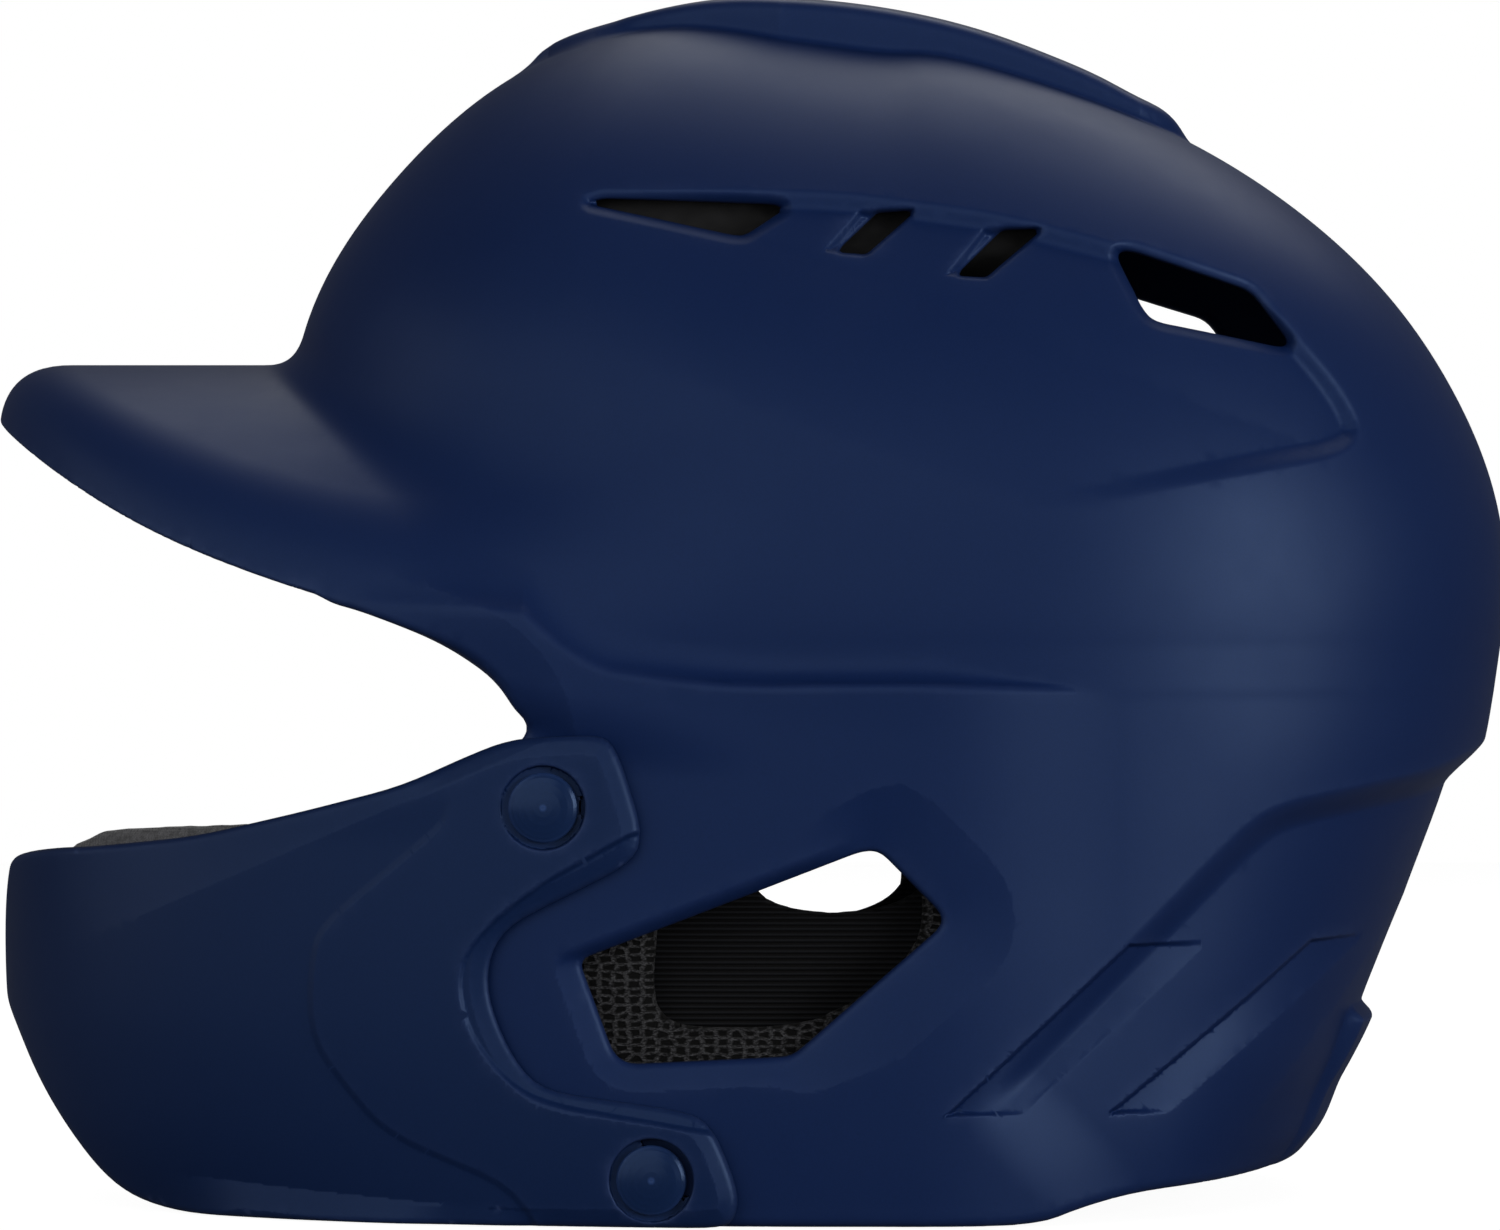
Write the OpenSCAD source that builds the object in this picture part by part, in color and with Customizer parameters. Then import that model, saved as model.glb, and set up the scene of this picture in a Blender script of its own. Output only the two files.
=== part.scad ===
// Batting helmet with a bolt-on jaw guard on the wearer's left side.
// +Z is up, -X is the front (brim) and -Y is the wearer's left. The helmet stands on z = 0.

/* [Shell] */
// Width over the ear flaps
shell_w = 190; // [180:1:200]
// Wall thickness of the moulded shell
wall = 3; // [2.4:0.1:3.6]
// Segments round the dome
dome_sides = 48; // [40:4:64]
// How far the crown ridge stands proud of the dome
ridge_h = 5; // [3:0.5:6]
// Width of the crown ridge
ridge_w = 44; // [36:1:50]

/* [Brim] */
// Furthest point of the brim in front of the middle of the head
brim_tip = 174.4; // [165:0.1:178]
// Height of the turned-down rim of the brim
brim_rim = 10; // [8:0.5:12]

/* [Jaw guard] */
// Wall thickness of the jaw guard
guard_wall = 4; // [3.4:0.1:4.4]
// Gap between the jaw guard and the ear flap
guard_gap = 0.8; // [0.6:0.1:1.2]
// Thickness of the foam behind the jaw guard
guard_foam_t = 9; // [6:0.5:11]

/* [Fasteners] */
// Diameter of the domed post heads
head_d = 13; // [11:0.5:14]
// Diameter of the recess round a post head
recess_d = 15.6; // [15:0.1:17]
// Diameter of the post shank
post_d = 6; // [5:0.1:7]
// Diameter of the hole that a post passes through
post_hole_d = 6.3; // [6.2:0.1:7.4]
// Diameter of the screw shank inside a post
screw_d = 3.9; // [3:0.1:4]
// Diameter of the bore in a post
screw_bore_d = 4.1; // [4.1:0.1:4.4]
// Outer diameter of the grommets round the posts
grommet_d = 8.4; // [8:0.1:9]
// Diameter of the screw head
screw_head_d = 11; // [9:0.5:12]

/* [Padding] */
// Thickness of the moulded foam liner
liner_t = 11; // [8:0.5:12]
// Thickness of the comfort pads
pad_t = 8; // [6:0.5:9]
// Thickness of the foam behind an ear hole
ear_pad_t = 11; // [8:0.5:12]
// Thickness of a mesh fabric cover
cover_t = 1.2; // [1:0.1:1.6]

/* [Hidden] */

navy = [0.07, 0.12, 0.25];
charcoal = [0.13, 0.13, 0.14];
foam_grey = [0.42, 0.42, 0.43];
mesh_black = [0.05, 0.05, 0.055];
steel = [0.62, 0.63, 0.65];
rubber = [0.09, 0.09, 0.09];

// Level sections of the dome, from the flaps to the crown:
// height, middle of the section, foremost x, rearmost x, half width
STATIONS = [
    [-8, 5, -163, 83, 0.96],
    [12, 5, -168, 90, 0.98],
    [32, 5, -171, 97, 0.99],
    [60, 5, -172, 104, 1],
    [84, 5, -168, 112, 1],
    [93, 5, -158, 119.5, 1],
    [101, 5, -140, 121.6, 0.995],
    [107, 5, -130, 122.6, 0.965],
    [127, 5, -121, 123.4, 0.958],
    [147, 3, -116.5, 119, 0.925],
    [166, 0, -115, 109, 0.86],
    [185, -4, -108, 94, 0.75],
    [200, -10, -98, 74, 0.63],
    [212, -18, -86, 51, 0.5],
    [220, -24, -76, 32, 0.38],
    [226, -29, -66, 10, 0.26],
    [230, -32, -53, -10, 0.14],
    [231.4, -32, -44, -20, 0.08]
];
LAST = len(STATIONS) - 1;
// Exponent of the superellipse that every level section follows
squareness = 2.3;
// Walls are inset towards this point, and below it towards the vertical line through it
core = [5, 0, 109];

// Holes through the shell, as outlines seen from the side
EAR_HOLE = [[-58, 50], [-6, 70], [-1, 70], [9, 59], [9, 56.5], [-17, 32], [-49, 30.5], [-52, 32]];
FRONT_VENT = [[-56.5, 192.4], [-53, 193.6], [-21, 192.3], [-19.6, 191.2], [-27, 186.2], [-55, 190]];
SECOND_VENT = [[-10.6, 184.4], [-4, 190.8], [4, 190.8], [4.2, 189.6], [-3.5, 182.2], [-10, 182.8]];
THIRD_VENT = [[12, 180.3], [19.3, 187.4], [28.6, 187], [28.8, 185.8], [20.3, 177.2], [12.6, 178.4]];
REAR_VENT = [[44, 182.4], [46, 183], [68, 176.6], [76.2, 166.6], [75, 165], [51, 169.8], [48.6, 172]];

// What is kept of the dome, seen from the side: flaps, nape and the edge of the face opening
DOME_KEEP = [
    [-58, 0], [28, 0], [36, 3], [48, 5.5], [84, 7], [110, 7], [140, 30], [140, 250], [-140, 250],
    [-140, 152], [-118, 152], [-98, 124], [-76, 107], [-70, 102], [-67.2, 96], [-68, 91],
    [-74, 86], [-79, 77], [-82, 62], [-81, 42], [-74, 22], [-64, 6]
];
// What is kept of the jaw guard, seen from the side
GUARD_KEEP = [
    [-32, 0], [-145, 0], [-151, 4], [-159, 14], [-165, 24], [-169.5, 34], [-171.5, 45], [-172, 54],
    [-170.5, 62], [-164, 67.5], [-152, 69], [-131, 72], [-110, 77], [-91, 82], [-76, 89.5],
    [-55, 91.5], [-51.5, 89], [-46.5, 73], [-48.5, 68], [-70, 56.5], [-74.5, 50], [-74.5, 42],
    [-70, 31], [-65, 25.5], [-38, 22], [-33, 19], [-28.6, 8]
];
// Top and front limits of the foam behind the jaw guard, and the opening in each ear pad
FOAM_KEEP = [[-145, 12], [-87, 10], [-87, 76], [-127, 74.5],
             [-150, 72.5], [-160, 67], [-165, 50], [-160, 29]];
EAR_OPENING = [[-44, 42], [-40, 74], [0, 76], [6, 62], [4, 50], [-14, 38], [-40, 37]];
// Fastener axes run along Y at these x and z
UPPER_AXIS = [-64.4, 78.1];
LOWER_AXIS = [-44.3, 9];

// Outer face of the ear flap at each fastener axis, along Y
UPPER_FACE = -90;
LOWER_FACE = -90.5;
// Depths along Y, inwards from the flap's outer face
SEAT_DEPTH = -2.6;
BOSS_DEPTH = 6.4;
washer_t = 0.8;
screw_head_h = 2.2;
head_h = 2.4;
// Insets of the layers inside the shell
liner_out = wall + 1.4;
liner_in = liner_out + liner_t;
patch_t = 0.8;
pad_out = liner_in + patch_t + 0.7;
side_liner_t = liner_t - 3;

function between(a, b, t) = a + (b - a) * t;
function spline(a, b, c, d, t) =
    b + (c - a) * t / 2 + (2 * a - 5 * b + 4 * c - d) * t * t / 2
    + (3 * b - a - 3 * c + d) * t * t * t / 2;
function row(i) = STATIONS[max(0, min(LAST, i))];
function station(s) = let (i = min(LAST - 1, floor(s)))
    spline(row(i - 1), row(i), row(i + 1), row(i + 2), s - i);
// The level whose section is at height z
function level_of(z, i = 0) = i >= LAST - 1 || row(i + 1)[0] > z
    ? i + (z - row(i)[0]) / (row(i + 1)[0] - row(i)[0]) : level_of(z, i + 1);

// Distance from the middle of a superellipse to its edge at an angle
function reach(angle, front, rear, side) =
    pow(pow(abs(cos(angle)) / (cos(angle) < 0 ? front : rear), squareness)
        + pow(abs(sin(angle)) / side, squareness), -1 / squareness);
// A point of the shell's outer surface: angle 0 is the rear, 90 the right side, 180 the front
function skin(s, angle) =
    let (st = station(s), r = reach(angle, st[1] - st[2], st[3] - st[1], st[4] * shell_w / 2))
    [st[1] + r * cos(angle), r * sin(angle), st[0]];
function inward(p, t) =
    let (to_core = [core[0], core[1], min(core[2], p[2])] - p) p + to_core * t / norm(to_core);

// Triangles of an end cap, as a strip across its loop of n points
function cap(n) = concat(
    [for (i = [0 : floor(n / 2) - 1]) [i, i + 1, n - 1 - i]],
    [for (i = [0 : floor(n / 2) - 1]) if (i + 1 < n - 2 - i) [i + 1, n - 2 - i, n - 1 - i]]
);
// Stack of rings, each a closed loop of n points, as one closed solid
module loft(rings) {
    n = len(rings[0]);
    m = len(rings);
    polyhedron(
        points = [for (ring = rings) for (p = ring) p],
        faces = concat(
            [for (j = [0 : m - 2]) for (i = [0 : n - 1]) [
                j * n + i, (j + 1) * n + i, (j + 1) * n + (i + 1) % n]],
            [for (j = [0 : m - 2]) for (i = [0 : n - 1]) [
                j * n + i, (j + 1) * n + (i + 1) % n, j * n + (i + 1) % n]],
            cap(n),
            [for (f = cap(n)) [for (k = [2, 1, 0]) (m - 1) * n + f[k]]]
        )
    );
}

// The whole dome from a lowest level up to the crown, inset by t
module dome(t, sides = dome_sides, steps = 30, lowest = -8) {
    s0 = level_of(lowest);
    loft([for (k = [0 : steps]) let (s = between(s0, LAST, k / steps))
        [for (i = [0 : sides - 1]) inward(skin(s, 360 * (i + 0.5) / sides), t)]]);
}

// A curved block inside the shell, from one level and angle to another. Its two faces are inset by
// outer and inner, and the inner face swells in the middle by crown.
module wall_block(angles, heights, outer, inner, crown = 0, nu = 14, nv = 6, taper = 0.25) {
    s0 = level_of(heights[0]);
    s1 = level_of(heights[1]);
    function swell(u, v) = pow(sin(180 * u) * sin(180 * v), 0.6);
    function at(u, v, t) = inward(skin(between(s0, s1, v), between(angles[0], angles[1], u)), t);
    loft([for (i = [0 : nu]) let (u = i / nu) concat(
        [for (j = [0 : nv]) let (v = j / nv)
            at(u, v, between(outer, inner, 1 - taper + taper * swell(u, v)) + crown * swell(u, v))],
        [for (j = [nv : -1 : 0]) at(u, j / nv, outer)]
    )]);
}

// An outline drawn in x and z, extruded along Y from y0 to y1
module side_prism(outline, y0, y1) {
    translate([0, y1, 0]) rotate([90, 0, 0]) linear_extrude(y1 - y0) polygon(outline);
}

module along_y(axis, y0, y1, d) {
    translate([axis[0], y1, axis[1]]) rotate([90, 0, 0]) cylinder(h = y1 - y0, d = d, $fn = 48);
}

// Brim: upper face, turned-down rim and underside, at one angle of its plan
function brim_section(a) =
    let (
        c = cos(a), s = sin(a),
        drop = pow(abs(s), 1.7),
        tip = [-70 - (brim_tip - 70) * c, 92 * s],
        shoulder = [-70 - (brim_tip - 75) * c, 88.5 * s],
        mid = [-62 - (brim_tip - 88) * c, 85 * s],
        root = [-50 - (brim_tip - 111) * c, 82 * s],
        z_tip = 150.5 - 48 * drop,
        z_shoulder = z_tip + brim_rim + 2.5,
        z_mid = 164 - 50 * drop,
        z_root = 165 - 52 * drop
    )
    [
        [root[0], root[1], z_root - 6],
        [mid[0], mid[1], z_mid - 3.6],
        [shoulder[0] + 3 * c, shoulder[1] - 3 * s, z_shoulder - 4],
        [tip[0] + 4 * c, tip[1] - 4 * s, z_tip + 0.5],
        [tip[0] + c, tip[1] - s, z_tip],
        [tip[0], tip[1], z_tip + brim_rim / 2],
        [shoulder[0], shoulder[1], z_shoulder],
        [mid[0], mid[1], z_mid],
        [root[0], root[1], z_root]
    ];

module brim() {
    steps = 41;
    loft([for (k = [0 : steps]) brim_section(between(-88, 88, k / steps))]);
}

// Crown ridge: a rib along the top, higher in the middle, with a flat top and steep sides
function ridge_top(x) = 236.8 - 0.0105 * pow(abs(x + 24), 1.75);
module ridge() {
    steps = 20;
    loft([for (k = [0 : steps]) let (
        x = between(-64, 61, k / steps),
        z = ridge_top(x) - 5 + ridge_h,
        w = ridge_w / 2 * pow(sin(between(25, 155, k / steps)), 0.5)
    ) [
        [x, w + 4, z - 22], [x, w, z - 3], [x, w * 0.75, z - 0.6], [x, 0, z],
        [x, -w * 0.75, z - 0.6], [x, -w, z - 3], [x, -w - 4, z - 22]
    ]]);
}

// Raised lip at the nape, under the rear recess
module nape_lip() {
    loft([for (k = [0 : 11]) let (a = between(-24, 24, k / 11)) [
        inward(skin(level_of(38), a), 1.5), inward(skin(level_of(37), a), -1),
        inward(skin(level_of(32), a), -3.5), inward(skin(level_of(24), a), -1.5),
        inward(skin(level_of(24), a), 1.5)
    ]]);
}

module shell() {
    color(navy)
    difference() {
        union() {
            resize([0, shell_w, 0]) difference() {
                union() {
                    intersection() {
                        dome(0);
                        side_prism(DOME_KEEP, -120, 120);
                    }
                    brim();
                    ridge();
                    nape_lip();
                }
                dome(wall);
                for (outline = [EAR_HOLE, FRONT_VENT, SECOND_VENT, THIRD_VENT, REAR_VENT])
                    side_prism(outline, -120, 120);
            }
            along_y(UPPER_AXIS, UPPER_FACE + 1, UPPER_FACE + BOSS_DEPTH, 13);
            along_y(LOWER_AXIS, LOWER_FACE + 1, LOWER_FACE + BOSS_DEPTH, 13);
        }
        along_y(UPPER_AXIS, -110, -70, grommet_d);
        along_y(LOWER_AXIS, -110, -70, grommet_d);
    }
}

// Moulded foam liner
module crown_liner() {
    color(charcoal)
    difference() {
        dome(liner_out, 28, 10, 186);
        dome(liner_in, 28, 12, 160);
        side_prism([[38, 150], [130, 150], [130, 197], [38, 197]], -120, 120);
    }
}
module front_liner() {
    color(charcoal) wall_block([150, 210], [156, 178], liner_out, liner_in, nu = 10, nv = 3);
}
module rear_liner() {
    color(charcoal) wall_block([-56, 56], [58, 158], liner_out, liner_in, nu = 22, nv = 9);
}
module side_liner() {
    color(charcoal) wall_block([224, 299], [107, 160], liner_out, liner_out + side_liner_t, nu = 12, nv = 5);
}
module left_side_liner() { side_liner(); }
module right_side_liner() { mirror([0, 1, 0]) side_liner(); }

// Comfort pads
module forehead_pad() {
    color(mesh_black) wall_block([157, 203], [157, 177], pad_out, pad_out + pad_t * 0.6, pad_t * 0.4, 12, 5);
}
module crown_pad() {
    color(mesh_black)
    difference() {
        dome(pad_out, 24, 5, 214);
        dome(pad_out + pad_t, 24, 6, 205);
    }
}
module rear_pad() {
    color(mesh_black) wall_block([-38, 38], [84, 138], pad_out, pad_out + pad_t * 0.6, pad_t * 0.4, 14, 6);
}
module temple_pad() {
    color(mesh_black)
    wall_block([226, 246], [112, 152], liner_out + side_liner_t + patch_t + 0.7,
        liner_out + side_liner_t + patch_t + pad_t * 0.6, pad_t * 0.4, 8, 6);
}
module left_temple_pad() { temple_pad(); }
module right_temple_pad() { mirror([0, 1, 0]) temple_pad(); }

// Ear pads: foam behind the ear hole with an opening of their own, and a mesh fabric face
module ear_pad() {
    color(foam_grey)
    difference() {
        wall_block([236.5, 283], [30, 97], wall + 0.5, wall + 0.5 + ear_pad_t, nu = 12, nv = 8);
        side_prism(EAR_OPENING, -120, -50);
    }
}
module ear_cover() {
    color(mesh_black)
    difference() {
        wall_block([237, 282.4], [31, 96], wall + 0.7 + ear_pad_t, wall + 0.7 + ear_pad_t + cover_t,
            nu = 13, nv = 7);
        side_prism(EAR_OPENING, -120, -50);
    }
}
module left_ear_pad() { ear_pad(); }
module right_ear_pad() { mirror([0, 1, 0]) ear_pad(); }
module left_ear_cover() { ear_cover(); }
module right_ear_cover() { mirror([0, 1, 0]) ear_cover(); }

module jaw_pad() {
    color(mesh_black) wall_block([249, 285], [5, 27], wall + 0.5, wall + 0.5 + pad_t, 2, 10, 4);
}
module left_jaw_pad() { jaw_pad(); }
module right_jaw_pad() { mirror([0, 1, 0]) jaw_pad(); }

// Hook patches that hold the comfort pads to the liner
module hook_patches() {
    color(rubber) {
        for (a = [168, 184]) hook_patch([a, a + 8], [162, 172], liner_in);
        for (a = [-26, 12]) hook_patch([a, a + 14], [102, 122], liner_in);
        for (side = [0, 1]) mirror([0, side, 0])
            hook_patch([231, 241], [122, 142], liner_out + side_liner_t);
    }
}
module hook_patch(angles, heights, inset) {
    wall_block(angles, heights, inset + 0.2, inset + 0.2 + patch_t, nu = 3, nv = 2);
}

// Jaw guard: a curved plate over the front of the left flap, cut to its outline
module jaw_guard() {
    color(navy)
    difference() {
        intersection() {
            wall_block([187, 259], [-6, 92.9], -guard_gap - guard_wall, -guard_gap,
                nu = 34, nv = 12, taper = 0);
            side_prism(GUARD_KEEP, -120, -10);
        }
        along_y(UPPER_AXIS, -110, UPPER_FACE + SEAT_DEPTH, recess_d);
        along_y(LOWER_AXIS, -110, LOWER_FACE + SEAT_DEPTH, recess_d);
        along_y(UPPER_AXIS, -110, -70, post_hole_d);
        along_y(LOWER_AXIS, -110, -70, post_hole_d);
    }
}
module jaw_guard_foam() {
    color(foam_grey)
    intersection() {
        wall_block([192, 222], [8, 82], 0.2 - guard_gap, guard_foam_t - guard_gap, 0, 16, 6);
        side_prism(FOAM_KEEP, -120, -10);
    }
}

// Binding post: a smooth domed head, and a shank with a blind bore for the screw
module post(axis, face) {
    seat = face + SEAT_DEPTH;
    end = face + BOSS_DEPTH - 0.4;
    color(navy)
    translate([axis[0], seat, axis[1]]) rotate([90, 0, 0])
    rotate_extrude($fn = 48) polygon(concat(
        [[0, -1.2], [screw_bore_d / 2, -1.2], [screw_bore_d / 2, seat - end], [post_d / 2, seat - end],
         [post_d / 2, 0], [head_d / 2, 0], [head_d / 2, 1.1]],
        [for (a = [15 : 15 : 75]) [head_d / 2 * cos(a), 1.1 + (head_h - 1.1) * sin(a)]],
        [[0, head_h]]
    ));
}
module upper_post() { post(UPPER_AXIS, UPPER_FACE); }
module lower_post() { post(LOWER_AXIS, LOWER_FACE); }

// Screw driven from inside the helmet, with a cross slot in its head
module screw(axis, face) {
    under_head = face + BOSS_DEPTH + washer_t + 0.1;
    color(steel)
    difference() {
        union() {
            along_y(axis, under_head, under_head + screw_head_h, screw_head_d);
            along_y(axis, face + SEAT_DEPTH + 1.6, under_head, screw_d);
        }
        for (turn = [0, 90])
            translate([axis[0], under_head + screw_head_h, axis[1]]) rotate([0, turn, 0])
                cube([6, 2.4, 1.2], center = true);
    }
}
module upper_screw() { screw(UPPER_AXIS, UPPER_FACE); }
module lower_screw() { screw(LOWER_AXIS, LOWER_FACE); }

module ring_y(axis, y0, y1, outer, inner) {
    difference() {
        along_y(axis, y0, y1, outer);
        along_y(axis, y0 - 1, y1 + 1, inner);
    }
}
module screw_washers() {
    color(steel) {
        ring_y(UPPER_AXIS, UPPER_FACE + BOSS_DEPTH + 0.05, UPPER_FACE + BOSS_DEPTH + washer_t,
            12, screw_d + 0.2);
        ring_y(LOWER_AXIS, LOWER_FACE + BOSS_DEPTH + 0.05, LOWER_FACE + BOSS_DEPTH + washer_t,
            12, screw_d + 0.2);
    }
}

// Rubber grommets that line the two holes through the flap
module post_grommets() {
    color(rubber) {
        ring_y(UPPER_AXIS, UPPER_FACE + 1, UPPER_FACE + BOSS_DEPTH, grommet_d - 0.1, post_d + 0.2);
        ring_y(LOWER_AXIS, LOWER_FACE + 1, LOWER_FACE + BOSS_DEPTH, grommet_d - 0.1, post_d + 0.2);
    }
}

shell();
crown_liner();
front_liner();
rear_liner();
left_side_liner();
right_side_liner();
forehead_pad();
crown_pad();
rear_pad();
left_temple_pad();
right_temple_pad();
left_ear_pad();
right_ear_pad();
left_ear_cover();
right_ear_cover();
left_jaw_pad();
right_jaw_pad();
hook_patches();
jaw_guard();
jaw_guard_foam();
upper_post();
lower_post();
upper_screw();
lower_screw();
screw_washers();
post_grommets();
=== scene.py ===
import math

import bpy
import numpy as np
import openvdb
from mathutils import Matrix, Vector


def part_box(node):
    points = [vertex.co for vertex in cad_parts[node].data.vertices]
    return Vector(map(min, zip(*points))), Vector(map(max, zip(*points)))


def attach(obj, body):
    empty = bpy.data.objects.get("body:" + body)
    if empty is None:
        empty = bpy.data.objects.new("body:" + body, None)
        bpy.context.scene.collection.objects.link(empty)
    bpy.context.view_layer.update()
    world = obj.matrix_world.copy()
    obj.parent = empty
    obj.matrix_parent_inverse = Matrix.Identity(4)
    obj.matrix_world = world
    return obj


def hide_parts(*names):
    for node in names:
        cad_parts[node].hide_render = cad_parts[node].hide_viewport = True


# Lengths are in millimetres until a mesh is made; the frame is in metres.
MM = 0.001


# Camera: the helmet from its left side, from a little over a metre away
def make_camera():
    data = bpy.data.cameras.new("camera")
    data.sensor_width = 36
    data.lens = 156
    data.clip_start = 0.05
    camera = bpy.data.objects.new("camera", data)
    bpy.context.collection.objects.link(camera)
    camera.location = (-0.026, -1.3, 0.1139)
    camera.rotation_euler = (math.radians(90), 0, 0)
    bpy.context.scene.camera = camera


make_camera()
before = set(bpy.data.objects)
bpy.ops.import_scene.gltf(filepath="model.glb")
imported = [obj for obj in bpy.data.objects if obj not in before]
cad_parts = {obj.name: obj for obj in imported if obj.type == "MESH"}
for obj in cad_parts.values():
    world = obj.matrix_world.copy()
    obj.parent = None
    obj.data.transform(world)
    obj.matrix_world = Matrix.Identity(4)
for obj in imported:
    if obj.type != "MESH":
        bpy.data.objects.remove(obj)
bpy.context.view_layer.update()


# ---------------------------------------------------------------- fields
# A field is negative inside a solid and positive outside, roughly in millimetres.
def soft_min(a, b, k):
    h = np.clip(0.5 + 0.5 * (b - a) / k, 0, 1)
    return b + (a - b) * h - k * h * (1 - h)


def soft_max(a, b, k):
    return -soft_min(-a, -b, k)


def ease(t):
    t = np.clip(t, 0, 1)
    return t * t * (3 - 2 * t)


def curve(knots, low, high, count=800):
    """A smooth curve through given knots, as a function of one variable"""
    knots = sorted(knots)
    x = np.array([k[0] for k in knots], float)
    y = np.array([k[1] for k in knots], float)
    n = len(x)
    gap = np.diff(x)
    matrix = np.eye(n)
    right = np.zeros(n)
    for i in range(1, n - 1):
        matrix[i, i - 1:i + 2] = gap[i - 1], 2 * (gap[i - 1] + gap[i]), gap[i]
        right[i] = 6 * ((y[i + 1] - y[i]) / gap[i] - (y[i] - y[i - 1]) / gap[i - 1])
    bend = np.linalg.solve(matrix, right)
    at = np.linspace(low, high, count)
    i = np.clip(np.searchsorted(x, at) - 1, 0, n - 2)
    a = (x[i + 1] - at) / gap[i]
    b = 1 - a
    value = a * y[i] + b * y[i + 1] + ((a ** 3 - a) * bend[i] + (b ** 3 - b) * bend[i + 1]) * gap[i] ** 2 / 6
    value = np.where(at < x[0], y[0], np.where(at > x[-1], y[-1], value))
    return lambda v: np.interp(v, at, value)


def rounded(points, radius=2.0):
    """An outline with round corners, each begun at a distance from the corner"""
    points = np.array(points, float)
    made = []
    for before, corner, after in zip(np.roll(points, 1, axis=0), points, np.roll(points, -1, axis=0)):
        start, end = (corner + (other - corner) * min(radius / np.linalg.norm(other - corner), 0.48)
                      for other in (before, after))
        for t in (0, 0.25, 0.5, 0.75, 1):
            made.append((1 - t) ** 2 * start + 2 * t * (1 - t) * corner + t * t * end)
    return np.array(made)


def outline(points, u, v, margin=16):
    """Signed distance from (u, v) to a closed outline, negative inside, and no more than the margin"""
    if u.ndim == 1:
        lowest, highest = points.min(axis=0) - margin, points.max(axis=0) + margin
        near = (u > lowest[0]) & (u < highest[0]) & (v > lowest[1]) & (v < highest[1])
        if not near.all():
            away = np.full(u.shape, float(margin))
            if near.any():
                away[near] = outline(points, u[near], v[near], margin)
            return away
    best = np.full(np.broadcast(u, v).shape, 1e9)
    inside = np.zeros(best.shape, bool)
    for (au, av), (bu, bv) in zip(points, np.roll(points, -1, axis=0)):
        du, dv = bu - au, bv - av
        t = np.clip(((u - au) * du + (v - av) * dv) / (du * du + dv * dv + 1e-12), 0, 1)
        best = np.minimum(best, (u - au - t * du) ** 2 + (v - av - t * dv) ** 2)
        if dv:
            inside ^= ((av > v) != (bv > v)) & (u < au + (v - av) * du / dv)
    return np.minimum(np.where(inside, -1, 1) * np.sqrt(best), margin)


def beside(a, b, u, v):
    """Distance from the line from a to b, positive on its right"""
    du, dv = b[0] - a[0], b[1] - a[1]
    return ((u - a[0]) * dv - (v - a[1]) * du) / math.hypot(du, dv)


# ---------------------------------------------------------------- the helmet's skin
CORE_X, CORE_Z = 5.0, 109.0
SQUARE = 2.3
SHELF_Z = 100.6
FLAP_HALF = 95.0
WALL = 3.0
# Middle section: distance from the core at an angle, from the brow over the crown to the nape
PER_MM = 0.5209
profile = curve([(-60, 126), (-20, 128), (0, 128), (15, 129), (28, 135.3), (42, 137.3), (54, 137.3),
                 (65, 133.8), (76, 126.9), (90, 118.3), (96, 116), (103, 114.3), (112, 113.5),
                 (122, 113.9), (133, 115.3), (145, 117.6), (156, 119.4), (166, 120.5), (173, 120),
                 (180, 118.3), (186, 116.6), (190, 115.2), (195, 112.5), (205.5, 105), (216, 98),
                 (226.4, 90), (236.8, 79), (243, 71)], -62, 244)
# Half width of the dome at an angle above the level of the core
width = curve([(0, 91.7), (11, 92.8), (23.4, 95.8), (35, 99.6), (47, 104), (57, 108.5), (65, 112.3),
               (72, 115), (80, 117.3), (90, 118.3)], 0, 90)
# Front of the flap's level sections, at each height
flap_front = curve([(-10, 157), (0, 163), (8, 167.5), (16, 171), (26, 173.6), (36, 175.2), (46, 175.8),
                    (58, 176), (100, 176)], -12, 105)


def superellipse(across, along, half, length, square=SQUARE):
    # A hair off the pole, where the radius has no direction
    along = along + 1e-6
    far = np.hypot(across, along) + 1e-9
    total = np.abs(along / far / length) ** square + np.abs(across / far / half) ** square
    return far, total ** (-1 / square)


def dome(x, y, z):
    u, w = x - CORE_X, z - CORE_Z
    far = np.hypot(u, y)
    rise = np.degrees(np.arctan2(np.maximum(w, 0), far + 1e-9))
    fall = np.maximum(-w, 0) * PER_MM
    angle = np.where(u > 0, 180 - rise + fall, rise - fall)
    square = 2 + (SQUARE - 2) * ease((78 - rise) / 50)
    level, radius = superellipse(y, u, width(rise), profile(angle), square)
    return np.where(w > 0, np.sqrt(level ** 2 + np.maximum(w, 0) ** 2), level) - radius


def flap(x, y, z):
    u = x - CORE_X
    fall = np.clip(CORE_Z - z, 0, 130) * PER_MM
    length = np.where(u > 0, profile(180 + fall), flap_front(z))
    half = FLAP_HALF - 3.3 * ease(u / 38) - 0.0007 * np.maximum(60 - z, 0) ** 2
    level, radius = superellipse(y, u, half, length)
    return level - radius


def skin(x, y, z):
    """The dome with its ear flaps, before any recess, vent or trimming"""
    base = dome(x, y, z) + 0.25 * np.maximum(SHELF_Z - z, 0)
    top = z - SHELF_Z - 4 * np.clip((-50 - x) / 12, 0, 1.5) ** 2
    shelf = soft_max(flap(x, y, z), top, 1.6)
    return soft_min(base, shelf, 0.6 + 5.4 * (1 - ease((x - 2) / 34)))


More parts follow.
